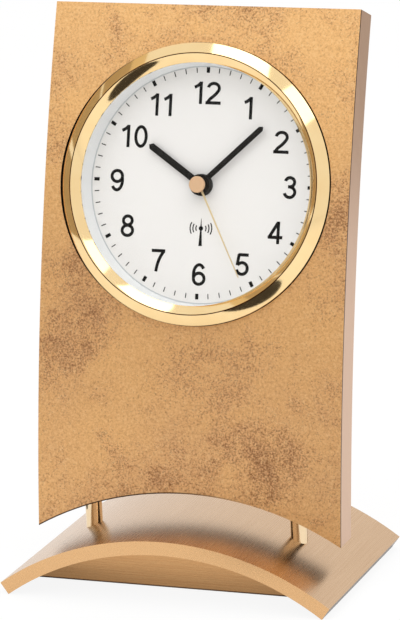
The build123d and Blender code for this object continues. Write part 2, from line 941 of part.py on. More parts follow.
stand = {
    "foot_arch": foot_arch(),
    "foot_block": foot_block(),
    "base_felt": base_felt(),
    "post_left": post(-1),
    "post_right": post(1),
    "post_screws": post_screws(),
    "case_board": case_board(),
    "front_sheet": front_sheet(),
}
clock = {
    "bezel_ring": bezel_ring(),
    "lens_gasket": lens_gasket(),
    "lens": lens(),
    "dial_ring": dial_ring(),
    "dial": dial(),
    "bush_nut": bush_nut(),
    "movement_washer": movement_washer(),
    "hour_hand": hour_hand(),
    "minute_hand": minute_hand(),
    "second_hand": second_hand(),
    "second_cap": second_cap(),
    "hour_wheel": hour_wheel(),
    "minute_wheel": minute_wheel(),
    "second_wheel": second_wheel(),
    "second_arbor": second_arbor(),
    "intermediate_wheel": intermediate_wheel(),
    "third_wheel": third_wheel(),
    "change_wheel": change_wheel(),
    "second_rotor_magnet": rotor_magnet(second_rotor_place),
    "second_rotor_pinion": second_rotor_pinion(),
    "minute_rotor_magnet": rotor_magnet(minute_rotor_place),
    "minute_rotor_pinion": minute_rotor_pinion(),
    "movement_housing": movement_housing(),
    "main_plate": main_plate(),
    "movement_cover": movement_cover(),
    "train_plate": train_plate(),
    "train_screws": small_screws(plate_screw_places, train_plate_back),
    "circuit_board": circuit_board(),
    "circuit_screws": small_screws(circuit_screw_places, circuit_back),
    "control_chip": control_chip(),
    "quartz_crystal": quartz_crystal(),
    "antenna_rod": antenna_rod(),
    "antenna_coil": antenna_coil(),
    "battery": battery(),
    "battery_spring": battery_spring(),
    "negative_contact": contact_plate(-inner_half),
    "positive_contact": contact_plate(positive_contact_left),
    "set_button": button(button_places[0]),
    "receive_button": button(button_places[1]),
    "reset_button": button(button_places[2]),
    "button_switches": button_switches(),
}
for motor, (rotor_place, side) in zip(("second", "minute"), motor_sides):
    clock[motor + "_stator"] = stator(rotor_place, side)
    clock[motor + "_coil_core"] = coil_core(rotor_place, side)
    clock[motor + "_coil_bobbin"] = coil_bobbin(rotor_place, side)
    clock[motor + "_coil_winding"] = coil_winding(rotor_place, side)


def as_group(shape):
    return Compound(children=[Part(item.wrapped) for item in shape]) if isinstance(shape, list) else shape


os.makedirs("parts", exist_ok=True)
for name, shape in stand.items():
    export_step(as_group(shape), f"parts/{name}.step")
for name, shape in clock.items():
    placed = [in_dial_frame(item) for item in shape] if isinstance(shape, list) else in_dial_frame(shape)
    export_step(as_group(placed), f"parts/{name}.step")
print("spring gap to itself, mm:", round(spring_self_gap(), 2))
print("dial lean, degrees:", round(degrees(dial_lean), 2))
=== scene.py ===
import json
from math import cos, radians, sin

import bmesh
import bpy
from mathutils import Matrix, Vector


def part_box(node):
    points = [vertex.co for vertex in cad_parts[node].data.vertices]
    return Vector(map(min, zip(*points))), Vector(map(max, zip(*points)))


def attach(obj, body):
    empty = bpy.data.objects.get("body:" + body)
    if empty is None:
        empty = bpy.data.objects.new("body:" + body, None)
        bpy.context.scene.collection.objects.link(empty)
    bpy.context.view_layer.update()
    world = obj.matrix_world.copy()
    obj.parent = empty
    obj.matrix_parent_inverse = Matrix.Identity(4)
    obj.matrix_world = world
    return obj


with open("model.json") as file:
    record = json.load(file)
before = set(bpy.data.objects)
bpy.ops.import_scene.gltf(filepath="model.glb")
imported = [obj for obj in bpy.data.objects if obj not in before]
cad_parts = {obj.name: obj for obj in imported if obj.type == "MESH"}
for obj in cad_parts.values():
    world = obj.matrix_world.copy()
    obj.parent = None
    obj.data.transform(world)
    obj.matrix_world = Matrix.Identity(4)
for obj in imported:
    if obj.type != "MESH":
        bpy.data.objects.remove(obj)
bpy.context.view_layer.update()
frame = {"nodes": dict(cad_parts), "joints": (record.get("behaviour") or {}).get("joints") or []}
nodes = frame["nodes"]
scene = bpy.context.scene
mm = 0.001  # sizes below are in millimetres, and those of lamps and cards in metres
print("frame loaded:", len(nodes), "pieces")


# sRGB hex to the linear colour that shaders take
def hexColour(code):
    shares = [int(code[i:i + 2], 16) / 255 for i in (1, 3, 5)]
    linear = [c / 12.92 if c <= 0.04045 else ((c + 0.055) / 1.055) ** 2.4 for c in shares]
    return (*linear, 1.0)


# one node with its settings, and its sockets as values or links; a colour Mix takes its share on
# socket 0 and its two colours on 6 and 7, and gives the mixed colour on output 2
def addNode(tree, kind, sockets=None, **settings):
    node = tree.nodes.new("ShaderNode" + kind)
    for name, value in settings.items():
        setattr(node, name, value)
    for socket, value in (sockets or {}).items():
        if isinstance(value, bpy.types.NodeSocket):
            tree.links.new(value, node.inputs[socket])
        else:
            node.inputs[socket].default_value = value
    return node


# a new material with constants on its shader's sockets
def startMaterial(name, **shaderValues):
    material = bpy.data.materials.new(name)
    material.use_nodes = True
    tree = material.node_tree
    shader = tree.nodes["Principled BSDF"]
    for socket, value in shaderValues.items():
        shader.inputs[socket.replace("_", " ")].default_value = value
    place = addNode(tree, "TexCoord").outputs["Object"]
    return material, tree, shader, place


# a noise's scale from the size of its grains
def perMetre(sizeInMm):
    return 1000.0 / sizeInMm


def feed(tree, shader, socket, output):
    tree.links.new(output, shader.inputs[socket])


def paint(material, *names):
    for name in names:
        piece = nodes[name]
        if piece.material_slots:
            piece.material_slots[0].material = material
        else:
            piece.data.materials.append(material)


# the dial's own frame, from the hands' axis and the dial's front face
handJoint = next(joint for joint in frame["joints"] if joint["name"] == "second_turn")
outward = -Vector(handJoint["axis"]).normalized()
across = Vector((1.0, 0.0, 0.0))
upDial = outward.cross(across)
dialLevel = max(vertex.co @ outward for vertex in nodes["dial"].data.vertices)
axisPoint = Vector(handJoint["pos_m"])
dialCentre = axisPoint + outward * (dialLevel - axisPoint @ outward)
dialMatrix = Matrix((across, upDial, outward)).transposed().to_4x4()
dialMatrix.translation = dialCentre
print("dial centre", [round(c / mm, 2) for c in dialCentre])


# for finishes that follow the dial: height over its face, offset from its axis and that
# offset's length
def dialOffset(tree, place):
    offset = addNode(tree, "VectorMath", {0: place, 1: dialCentre}, operation="SUBTRACT")
    height = addNode(tree, "VectorMath", {0: offset.outputs[0], 1: outward}, operation="DOT_PRODUCT")
    along = addNode(tree, "VectorMath", {0: outward, "Scale": height.outputs["Value"]}, operation="SCALE")
    radial = addNode(tree, "VectorMath", {0: offset.outputs[0], 1: along.outputs[0]}, operation="SUBTRACT")
    reach = addNode(tree, "VectorMath", {0: radial.outputs[0]}, operation="LENGTH")
    return {"height": height.outputs["Value"], "radial": radial.outputs[0], "reach": reach.outputs["Value"]}


# Front sheet: brass, patinated with acid and waxed. Warm gold shows through brown and rosy
# clouds, with a fine grain and dark specks gathered in drifts; its cut edge is painted dark as shade.
patina = {
    "gold": "#ecb97a",
    "brown": "#dbaa75",
    # colour of the painted shade on the cut edge and along the lower arch
    "edge": "#3c2817",
    # layers over that ground: colour, where in its pattern each begins and is full, and how full
    "rose": ("#cf9e78", 0.45, 0.7, 0.5),
    "pale": ("#f6d7a4", 0.5, 0.68, 0.5),
    "shade": ("#b98858", 0.5, 0.3, 0.75),
    "speck": ("#70401f", 1.07, 1.36, 0.76),
    "cloudSize": 36.0,
    "cloudSpan": (0.35, 0.65),
    "cloudShare": 0.6,
    # painted light: the ground grows paler towards the top between these heights, in mm
    "paintedLightHeights": (95.0, 190.0),
    "paintedLightShare": 0.7,
    "grainSize": 0.8,
    "driftSize": 34.0,
    "driftShift": (17.0, 0.0, -36.0),
    "speckSize": 0.7,
    "gathering": 1.1,
    "archCentre": (0.0, 0.0, -81.32),
    "archRadius": 113.6,
    # the line of painted shade along the lower arch: its width, and where it fades out to the right
    "archShadeLine": 0.55,
    "archShadeFade": (25.0, -5.0),
    "roughness": (0.4, 0.62),
    "relief": 0.05,
}


def patinatedBrass():
    material, tree, shader, place = startMaterial("patinated waxed brass", Metallic=0.7)
    spot = addNode(tree, "SeparateXYZ", {0: place}).outputs

    # the ground turns from brown to gold in clouds, and towards the top as painted light
    clouds = addNode(tree, "TexNoise", {
        "Vector": place, "Scale": perMetre(patina["cloudSize"]),
        "Detail": 5.0, "Roughness": 0.6, "Distortion": 0.4})
    cloudLow, cloudHigh = patina["cloudSpan"]
    cloudShare = addNode(tree, "MapRange", {
        "Value": clouds.outputs["Fac"], "From Min": cloudLow, "From Max": cloudHigh,
        "To Max": patina["cloudShare"]})
    fadeLow, fadeHigh = patina["paintedLightHeights"]
    paintedTopLight = addNode(tree, "MapRange", {
        "Value": spot["Z"], "From Min": fadeLow * mm, "From Max": fadeHigh * mm,
        "To Max": patina["paintedLightShare"]})
    goldAndPaintedLightShare = addNode(tree, "Math", {
        0: cloudShare.outputs[0], 1: paintedTopLight.outputs[0]}, operation="ADD", use_clamp=True)
    colour = addNode(tree, "Mix", {
        0: goldAndPaintedLightShare.outputs[0], 6: hexColour(patina["brown"]), 7: hexColour(patina["gold"])},
        data_type="RGBA")

    # drifts, a fine grain, and specks that gather where the drifts are thick
    shifted = addNode(tree, "Mapping", {"Vector": place, "Location": Vector(patina["driftShift"]) * mm})
    drifts = addNode(tree, "TexNoise", {
        "Vector": shifted.outputs[0], "Scale": perMetre(patina["driftSize"]),
        "Detail": 7.0, "Roughness": 0.68, "Distortion": 0.3}).outputs["Fac"]
    grain = addNode(tree, "TexNoise", {
        "Vector": place, "Scale": perMetre(patina["grainSize"]),
        "Detail": 4.0, "Roughness": 0.8}).outputs["Fac"]
    specks = addNode(tree, "TexNoise", {
        "Vector": place, "Scale": perMetre(patina["speckSize"]),
        "Detail": 2.0, "Roughness": 0.6}).outputs["Fac"]
    gathered = addNode(tree, "Math", {
        0: drifts, 1: patina["gathering"], 2: specks}, operation="MULTIPLY_ADD").outputs[0]
    for layer, pattern in {"rose": drifts, "pale": grain, "shade": grain, "speck": gathered}.items():
        tone, begins, full, most = patina[layer]
        share = addNode(tree, "MapRange", {
            "Value": pattern, "From Min": begins, "From Max": full, "To Max": most})
        colour = addNode(tree, "Mix", {
            0: share.outputs[0], 6: colour.outputs[2], 7: hexColour(tone)}, data_type="RGBA")
    # the specks, the last layer, are also the dullest
    roughness = addNode(tree, "MapRange", {
        "Value": share.outputs[0], "To Min": patina["roughness"][0], "To Max": patina["roughness"][1]})
    feed(tree, shader, "Roughness", roughness.outputs[0])

    # painted shade: dark on the cut edge, and in a line along the lower arch that fades to the right
    facing = addNode(tree, "VectorMath", {
        0: addNode(tree, "NewGeometry").outputs["Normal"], 1: (0.0, 1.0, 0.0)}, operation="DOT_PRODUCT")
    edgeShadeShare = addNode(tree, "MapRange", {
        "Value": facing.outputs["Value"], "From Min": -0.5, "From Max": -0.2})
    upright = addNode(tree, "VectorMath", {0: place, 1: (1.0, 0.0, 1.0)}, operation="MULTIPLY")
    reach = addNode(tree, "VectorMath", {
        0: upright.outputs[0], 1: Vector(patina["archCentre"]) * mm}, operation="DISTANCE")
    lineTop = patina["archRadius"] + patina["archShadeLine"]
    lineMiddle = patina["archRadius"] + patina["archShadeLine"] / 2
    archShadeEdge = addNode(tree, "MapRange", {
        "Value": reach.outputs["Value"], "From Min": lineTop * mm, "From Max": lineMiddle * mm})
    fadeRight, fadeLeft = patina["archShadeFade"]
    archShadeSide = addNode(tree, "MapRange", {
        "Value": spot["X"], "From Min": fadeRight * mm, "From Max": fadeLeft * mm})
    archShadeShare = addNode(tree, "Math", {
        0: archShadeEdge.outputs[0], 1: archShadeSide.outputs[0]}, operation="MULTIPLY")
    paintedShadeShare = addNode(tree, "Math", {
        0: edgeShadeShare.outputs[0], 1: archShadeShare.outputs[0]}, operation="MAXIMUM")
    edgeShaded = addNode(tree, "Mix", {
        0: paintedShadeShare.outputs[0], 6: colour.outputs[2], 7: hexColour(patina["edge"])}, data_type="RGBA")
    feed(tree, shader, "Base Color", edgeShaded.outputs[2])
    bump = addNode(tree, "Bump", {"Height": grain, "Strength": 0.3, "Distance": patina["relief"] * mm})
    feed(tree, shader, "Normal", bump.outputs["Normal"])
    return material


paint(patinatedBrass(), "front_sheet")

# Board: fibre board wrapped in satin foil. An even rosy beige with a faint upright grain of the
# rolled print; inside the dial recess and on the underside it is painted near black and dull as shade.
foil = {
    "light": "#d0ae94",
    "dark": "#c09d83",
    # near black colours painted as shade: inside the dial recess and on the faces that look down
    "recessShade": "#120d09",
    "undersideShade": "#180e06",
    "grainAcross": 0.7,
    "grainAlong": 26.0,
    "recessRadius": 51.0,
    "recessDepth": 11.5,  # this and the next are taken from the board's front
    "dialDepth": 8.0,
    "metallic": 0.5,
    "roughness": (0.3, 0.42),
    "relief": 0.02,
}


def satinFoil():
    material, tree, shader, place = startMaterial("satin foil on fibre board")
    acrossScale = perMetre(foil["grainAcross"])
    stretch = addNode(tree, "Mapping", {
        "Vector": place, "Scale": (acrossScale, acrossScale, perMetre(foil["grainAlong"]))})
    grain = addNode(tree, "TexNoise", {
        "Vector": stretch.outputs[0], "Scale": 1.0, "Detail": 4.0, "Roughness": 0.6}).outputs["Fac"]
    grained = addNode(tree, "Mix", {
        0: grain, 6: hexColour(foil["dark"]), 7: hexColour(foil["light"])}, data_type="RGBA")
    offset = dialOffset(tree, place)
    # painted shade inside the dial recess
    near = addNode(tree, "Math", {
        0: offset["reach"], 1: foil["recessRadius"] * mm}, operation="LESS_THAN")
    recessFloor = (foil["dialDepth"] - foil["recessDepth"]) * mm
    front = addNode(tree, "Math", {0: offset["height"], 1: recessFloor}, operation="GREATER_THAN")
    inside = addNode(tree, "Math", {0: near.outputs[0], 1: front.outputs[0]}, operation="MULTIPLY")
    recessShaded = addNode(tree, "Mix", {
        0: inside.outputs[0], 6: grained.outputs[2], 7: hexColour(foil["recessShade"])}, data_type="RGBA")
    # painted shade on the faces that look down
    downward = addNode(tree, "VectorMath", {
        0: addNode(tree, "NewGeometry").outputs["Normal"], 1: (0.0, 0.0, -1.0)}, operation="DOT_PRODUCT")
    undersideShadeShare = addNode(tree, "MapRange", {
        "Value": downward.outputs["Value"], "From Min": 0.3, "From Max": 0.5})
    undersideShaded = addNode(tree, "Mix", {
        0: undersideShadeShare.outputs[0], 6: recessShaded.outputs[2], 7: hexColour(foil["undersideShade"])}, data_type="RGBA")
    feed(tree, shader, "Base Color", undersideShaded.outputs[2])
    dull = addNode(tree, "Math", {0: undersideShadeShare.outputs[0], 1: inside.outputs[0]}, operation="MAXIMUM")
    metallic = addNode(tree, "MapRange", {
        "Value": dull.outputs[0], "To Min": foil["metallic"], "To Max": 0.0})
    feed(tree, shader, "Metallic", metallic.outputs[0])
    roughness = addNode(tree, "MapRange", {
        "Value": grain, "To Min": foil["roughness"][0], "To Max": foil["roughness"][1]})
    feed(tree, shader, "Roughness", roughness.outputs[0])
    bump = addNode(tree, "Bump", {"Height": grain, "Strength": 0.1, "Distance": foil["relief"] * mm})
    feed(tree, shader, "Normal", bump.outputs["Normal"])
    return material


paint(satinFoil(), "case_board")

# Foot: champagne anodised aluminium, brushed front to back on the arch and lengthwise on the
# block. Fine hairlines, and a soft mirror image of the board drawn out across them; its faces are
# toned lighter or darker as painted light and shade.
anodised = {
    # the top, front edge and block take different tones of this one finish as painted light and shade
    "topLight": "#dbb994",
    "topDark": "#c39e78",
    "edgeLight": "#e5bb89",
    "edgeDark": "#d7a876",
    # painted shade on the faces that look down
    "endLight": "#6d5846",
    "endDark": "#5c4939",
    "blockLight": "#d9a974",
    "blockDark": "#c69461",
    "hairAcross": 0.22,  # drawn coarser than the real 0.05 mm grit so that it shows
    "hairAlong": 30.0,
    "coat": 0.2,
    "coatRoughness": 0.25,
    "roughness": (0.23, 0.31),
    "relief": 0.01,
}


def brushedAluminium(name, alongAxis, top, edge):
    material, tree, shader, place = startMaterial(
        name, Metallic=1.0, Coat_Weight=anodised["coat"], Coat_Roughness=anodised["coatRoughness"])
    scale = [perMetre(anodised["hairAcross"])] * 3
    scale[alongAxis] = perMetre(anodised["hairAlong"])
    stretch = addNode(tree, "Mapping", {"Vector": place, "Scale": tuple(scale)})
    hairs = addNode(tree, "TexNoise", {
        "Vector": stretch.outputs[0], "Scale": 1.0, "Detail": 4.0, "Roughness": 0.7}).outputs["Fac"]
    hairShare = addNode(tree, "MapRange", {"Value": hairs, "From Min": 0.25, "From Max": 0.75})
    normal = addNode(tree, "NewGeometry").outputs["Normal"]
    upward = addNode(tree, "SeparateXYZ", {0: normal}).outputs["Z"]
    topShare = addNode(tree, "MapRange", {"Value": upward, "From Min": 0.2, "From Max": 0.5})
    # painted shade: faces that look down take the dark end tones
    downShadeShare = addNode(tree, "MapRange", {"Value": upward, "From Min": -0.2, "From Max": -0.4})
    tones = {}
    for face in (edge, top, "end"):
        dark, light = hexColour(anodised[face + "Dark"]), hexColour(anodised[face + "Light"])
        tones[face] = addNode(tree, "Mix", {
            0: hairShare.outputs[0], 6: dark, 7: light}, data_type="RGBA").outputs[2]
    faced = addNode(tree, "Mix", {0: topShare.outputs[0], 6: tones[edge], 7: tones[top]}, data_type="RGBA")
    colour = addNode(tree, "Mix", {
        0: downShadeShare.outputs[0], 6: faced.outputs[2], 7: tones["end"]}, data_type="RGBA")
    feed(tree, shader, "Base Color", colour.outputs[2])
    roughness = addNode(tree, "MapRange", {
        "Value": hairs, "To Min": anodised["roughness"][0], "To Max": anodised["roughness"][1]})
    feed(tree, shader, "Roughness", roughness.outputs[0])
    bump = addNode(tree, "Bump", {
        "Height": hairs, "Strength": 0.04, "Distance": anodised["relief"] * mm})
    feed(tree, shader, "Normal", bump.outputs["Normal"])
    return material


paint(brushedAluminium("anodised aluminium brushed front to back", 1, "top", "edge"), "foot_arch")
paint(brushedAluminium("anodised aluminium brushed lengthwise", 0, "block", "block"), "foot_block")

# Bezel and posts: brass, turned, polished and lacquered. A clear mirror with only a trace of
# turning and polishing haze.
polish = {
    "bezelLight": "#f7dca8",
    "bezelDark": "#f0cd94",
    "postLight": "#eed8b6",
    "postDark": "#e0c49c",
    # painted shade in the groove between the facets
    "grooveShade": "#a87f47",
    "hazeSize": 9.0,
    "smearSize": 0.5,
    "roughness": (0.05, 0.11),
    "innerFacet": (42.7, 45.7),
    "outerFacet": (46.05, 49.65),
    # the polishing wheel crowns each facet: tangents of its lean at the two edges
    "innerCrown": (-0.14, 0.14),
    "outerCrown": (-0.16, 0.0),
}


def polishedBrass(name, piece):
    material, tree, shader, place = startMaterial(name, Metallic=1.0)
    haze = addNode(tree, "TexNoise", {
        "Vector": place, "Scale": perMetre(polish["hazeSize"]), "Detail": 3.0})
    dark, light = hexColour(polish[piece + "Dark"]), hexColour(polish[piece + "Light"])
    colour = addNode(tree, "Mix", {0: haze.outputs["Fac"], 6: dark, 7: light}, data_type="RGBA")
    feed(tree, shader, "Base Color", colour.outputs[2])
    smears = addNode(tree, "TexNoise", {
        "Vector": place, "Scale": perMetre(polish["smearSize"]), "Detail": 2.0})
    low, high = polish["roughness"]
    roughness = addNode(tree, "MapRange", {"Value": smears.outputs["Fac"], "To Min": low, "To Max": high})
    feed(tree, shader, "Roughness", roughness.outputs[0])
    return material, tree, shader, place, colour


# the bezel's two facets are slightly crowned, and the groove between them is painted dark as shade
def turnedBezel():
    material, tree, shader, place, colour = polishedBrass("turned polished brass", "bezel")
    offset = dialOffset(tree, place)
    reach = offset["reach"]
    leans = []
    for facet in ("inner", "outer"):
        low, high = polish[facet + "Facet"]
        leanLow, leanHigh = polish[facet + "Crown"]
        leans.append(addNode(tree, "MapRange", {
            "Value": reach, "From Min": low * mm, "From Max": high * mm,
            "To Min": leanLow, "To Max": leanHigh}).outputs[0])
    grooveIn, grooveOut = polish["innerFacet"][1], polish["outerFacet"][0]
    grooveMiddle = (grooveIn + grooveOut) / 2 * mm
    isOuter = addNode(tree, "Math", {0: reach, 1: grooveMiddle}, operation="GREATER_THAN")
    lean = addNode(tree, "Mix", {0: isOuter.outputs[0], 2: leans[0], 3: leans[1]}, data_type="FLOAT")
    away = addNode(tree, "VectorMath", {0: offset["radial"]}, operation="NORMALIZE")
    push = addNode(tree, "VectorMath", {0: away.outputs[0], "Scale": lean.outputs[0]}, operation="SCALE")
    bent = addNode(tree, "VectorMath", {
        0: addNode(tree, "NewGeometry").outputs["Normal"], 1: push.outputs[0]}, operation="ADD")
    crowned = addNode(tree, "VectorMath", {0: bent.outputs[0]}, operation="NORMALIZE")
    feed(tree, shader, "Normal", crowned.outputs[0])
    fromGroove = addNode(tree, "Math", {0: reach, 1: grooveMiddle}, operation="SUBTRACT")
    nearGroove = addNode(tree, "Math", {0: fromGroove.outputs[0]}, operation="ABSOLUTE")
    inGroove = addNode(tree, "Math", {
        0: nearGroove.outputs[0], 1: (grooveOut - grooveIn) / 2 * mm}, operation="LESS_THAN")
    grooveShaded = addNode(tree, "Mix", {
        0: inGroove.outputs[0], 6: colour.outputs[2], 7: hexColour(polish["grooveShade"])}, data_type="RGBA")
    feed(tree, shader, "Base Color", grooveShaded.outputs[2])
    return material


paint(turnedBezel(), "bezel_ring")
paint(polishedBrass("polished pale brass", "post")[0], "post_left", "post_right")

# Felt pad: pressed wool felt, dyed brown. Dull, with short tangled fibres.
felt = {"light": "#8b6a4c", "dark": "#5c4430", "fibreSize": 0.35, "relief": 0.1}


def brownFelt():
    material, tree, shader, place = startMaterial("pressed brown felt", Roughness=0.95, Sheen_Weight=0.3)
    fibres = addNode(tree, "TexNoise", {
        "Vector": place, "Scale": perMetre(felt["fibreSize"]), "Detail": 4.0, "Distortion": 1.5})
    colour = addNode(tree, "Mix", {
        0: fibres.outputs["Fac"], 6: hexColour(felt["dark"]), 7: hexColour(felt["light"])},
        data_type="RGBA")
    feed(tree, shader, "Base Color", colour.outputs[2])
    bump = addNode(tree, "Bump", {
        "Height": fibres.outputs["Fac"], "Strength": 0.6, "Distance": felt["relief"] * mm})
    feed(tree, shader, "Normal", bump.outputs["Normal"])
    return material


paint(brownFelt(), "base_felt")

# Lens: flat mineral glass, coated against reflections. Clear, with a very faint mirror image and
# a trace of wiping; light passes to the dial.
glass = {
    "ior": 1.15,  # below the usual 1.5, because the coating leaves so weak a mirror
    "wipeSize": 25.0,
    "roughness": (0.0, 0.01),
}


def mineralGlass():
    material, tree, shader, place = startMaterial(
        "coated mineral glass", IOR=glass["ior"], Transmission_Weight=1.0)
    wipe = addNode(tree, "TexNoise", {
        "Vector": place, "Scale": perMetre(glass["wipeSize"]), "Detail": 2.0})
    low, high = glass["roughness"]
    roughness = addNode(tree, "MapRange", {"Value": wipe.outputs["Fac"], "To Min": low, "To Max": high})
    feed(tree, shader, "Roughness", roughness.outputs[0])
    path = addNode(tree, "LightPath").outputs
    passing = addNode(tree, "Math", {
        0: path["Is Shadow Ray"], 1: path["Is Diffuse Ray"]}, operation="MAXIMUM")
    clear = addNode(tree, "BsdfTransparent")
    mixed = addNode(tree, "MixShader", {
        0: passing.outputs[0], 1: shader.outputs[0], 2: clear.outputs[0]})
    tree.links.new(mixed.outputs[0], tree.nodes["Material Output"].inputs["Surface"])
    return material


paint(mineralGlass(), "lens")

# Plain moulded, lacquered and plated finishes share one build: two close tones in a fine pattern
# that also stirs the roughness and the surface, and that stretch draws out along an axis. Grains
# finer than 0.1 mm are drawn coarser so that they show. These values hold where a finish gives none.
plainFinish = {"metallic": 0.0, "specular": 0.5, "relief": 0.02, "stir": 0.15, "stretch": (1.0, 1.0, 1.0)}


def mottledFinish(name, values):
    finish = plainFinish | values
    material, tree, shader, place = startMaterial(
        name, Metallic=finish["metallic"], Specular_IOR_Level=finish["specular"])
    scale = tuple(perMetre(finish["patternSize"] * share) for share in finish["stretch"])
    mapped = addNode(tree, "Mapping", {"Vector": place, "Scale": scale})
    pattern = addNode(tree, "TexNoise", {
        "Vector": mapped.outputs[0], "Scale": 1.0, "Detail": 3.0, "Roughness": 0.6}).outputs["Fac"]
    colour = addNode(tree, "Mix", {
        0: pattern, 6: hexColour(finish["dark"]), 7: hexColour(finish["light"])}, data_type="RGBA")
    feed(tree, shader, "Base Color", colour.outputs[2])
    roughness = addNode(tree, "MapRange", {
        "Value": pattern, "To Min": finish["roughness"] * (1 - finish["stir"]),
        "To Max": finish["roughness"] * (1 + finish["stir"])})
    feed(tree, shader, "Roughness", roughness.outputs[0])
    bump = addNode(tree, "Bump", {
        "Height": pattern, "Strength": 0.2, "Distance": finish["relief"] * mm})
    feed(tree, shader, "Normal", bump.outputs["Normal"])
    return material


copper = {"light": "#c77a45", "dark": "#8e4f27", "patternSize": 0.12, "roughness": 0.3, "metallic": 0.9}
finishes = {
    # dial: aluminium disc sprayed matt white; a faint spray grain
    "sprayed matt white dial lacquer": {
        "light": "#f7f5f2", "dark": "#f1efec", "patternSize": 0.35, "roughness": 0.6,
        "pieces": ["dial"]},
    # wall ring: injection moulded polystyrene, a cool satin white
    "moulded white polystyrene": {
        "light": "#f4f6f6", "dark": "#eef0f1", "patternSize": 0.6, "roughness": 0.4,
        "pieces": ["dial_ring"]},
    # hour and minute hands: stamped aluminium, sprayed satin black, with little glint
    "sprayed satin black lacquer": {
        "light": "#1f1d1b", "dark": "#171614", "patternSize": 0.4, "roughness": 0.5, "specular": 0.15,
        "pieces": ["hour_hand", "minute_hand"]},
    # second hand: stamped aluminium under pale gold lacquer, a soft gleam
    "pale gold lacquer": {
        "light": "#f0dcb2", "dark": "#e3ca9b", "patternSize": 0.3, "roughness": 0.4, "metallic": 0.5,
        "pieces": ["second_hand"]},
    # second hand's cap: turned aluminium, anodised rose gold, with soft lines
    "rose gold anodised aluminium": {
        "light": "#f3cca4", "dark": "#e9bc91", "patternSize": 0.3, "roughness": 0.4, "metallic": 0.6,
        "stretch": (1.0, 6.0, 6.0), "pieces": ["second_cap"]},
    # gasket: moulded silicone, waxy cream
    "moulded pale silicone": {
        "light": "#efe6d2", "dark": "#e5dac2", "patternSize": 0.5, "roughness": 0.5,
        "pieces": ["lens_gasket"]},
    # washer: moulded rubber, dull black
    "moulded black rubber": {
        "light": "#242423", "dark": "#161615", "patternSize": 0.3, "roughness": 0.75,
        "pieces": ["movement_washer"]},
    # nut on the bush: turned brass, chemically blackened; a faint dark sheen
    "blackened brass": {
        "light": "#22201e", "dark": "#161513", "patternSize": 0.2, "roughness": 0.45, "specular": 0.3,
        "stretch": (6.0, 6.0, 1.0), "pieces": ["bush_nut"]},
    # screws: steel, zinc plated; grey with a fine crystal bloom
    "zinc plated steel": {
        "light": "#c2c3c6", "dark": "#a3a4a8", "patternSize": 0.5, "roughness": 0.35, "metallic": 1.0,
        "pieces": ["post_screws", "train_screws", "circuit_screws"]},
    # movement: injection moulded ABS with a spark-eroded grain, an even soft black
    "spark grained black ABS": {
        "light": "#2b2b2b", "dark": "#191919", "patternSize": 0.28, "roughness": 0.55, "relief": 0.06,
        "pieces": ["movement_housing", "movement_cover", "main_plate", "control_chip", "button_switches"]},
    # buttons: moulded ABS, satin grey
    "moulded grey ABS": {
        "light": "#c9c9c5", "dark": "#bcbcb8", "patternSize": 0.4, "roughness": 0.45,
        "pieces": ["set_button", "receive_button", "reset_button"]},
    # wheels, bobbins and train plate: moulded acetal without dye, waxy white
    "natural acetal": {
        "light": "#ebe9df", "dark": "#dedcd0", "patternSize": 0.8, "roughness": 0.4,
        "pieces": [
            "hour_wheel", "minute_wheel", "second_wheel", "intermediate_wheel", "third_wheel",
            "change_wheel", "second_rotor_pinion", "minute_rotor_pinion", "second_coil_bobbin",
            "minute_coil_bobbin", "train_plate"]},
    # arbor: ground steel, a bright even grey
    "ground steel": {
        "light": "#c7c8ca", "dark": "#b2b3b6", "patternSize": 0.1, "roughness": 0.22, "metallic": 1.0,
        "pieces": ["second_arbor"]},
    # rotor magnets: sintered, dark and granular
    "sintered magnet": {
        "light": "#58585c", "dark": "#3c3c40", "patternSize": 0.15, "roughness": 0.55, "metallic": 0.6,
        "pieces": ["second_rotor_magnet", "minute_rotor_magnet"]},
    # stators and cores: soft iron stamped from sheet, a dull cloudy grey
    "stamped soft iron": {
        "light": "#9a9a9c", "dark": "#7f7f82", "patternSize": 0.4, "roughness": 0.4, "metallic": 1.0,
        "pieces": ["second_stator", "minute_stator", "second_coil_core", "minute_coil_core"]},
    # coils: enamelled copper wire laid turn beside turn, fine orange lines round each coil
    "enamelled copper wire": copper | {
        "stretch": (20.0, 20.0, 1.0), "pieces": ["second_coil_winding", "minute_coil_winding"]},
    "enamelled copper wire on the antenna": copper | {
        "stretch": (1.0, 20.0, 20.0), "pieces": ["antenna_coil"]},
    # circuit board: glass laminate under solder mask, a glossy green
    "green solder mask": {
        "light": "#2f7a4b", "dark": "#1f5c37", "patternSize": 1.2, "roughness": 0.35,
        "pieces": ["circuit_board"]},
    # crystal can, contacts and spring: nickel plated, warm and bright
    "nickel plate": {
        "light": "#d3d2cd", "dark": "#bdbcb7", "patternSize": 0.3, "roughness": 0.25, "metallic": 1.0,
        "pieces": ["quartz_crystal", "battery_spring", "negative_contact", "positive_contact"]},
    # antenna rod: sintered ferrite, near black and matt
    "sintered ferrite": {
        "light": "#3a3837", "dark": "#282625", "patternSize": 0.2, "roughness": 0.6,
        "pieces": ["antenna_rod"]},
}
for name, finish in finishes.items():
    paint(mottledFinish(name, finish), *finish["pieces"])

# Battery: steel can in a plain printed sleeve. Glossy and dark, with a bright copper band and a
# steel nub at the positive end.
cell = {
    "dark": "#2b2d33",
    "band": "#b8743c",
    "steel": "#c9c9c8",
    "bandLength": 15.0,
    "nubLength": 1.35,
    "sheenSize": 2.0,
    "roughness": (0.22, 0.36),
}


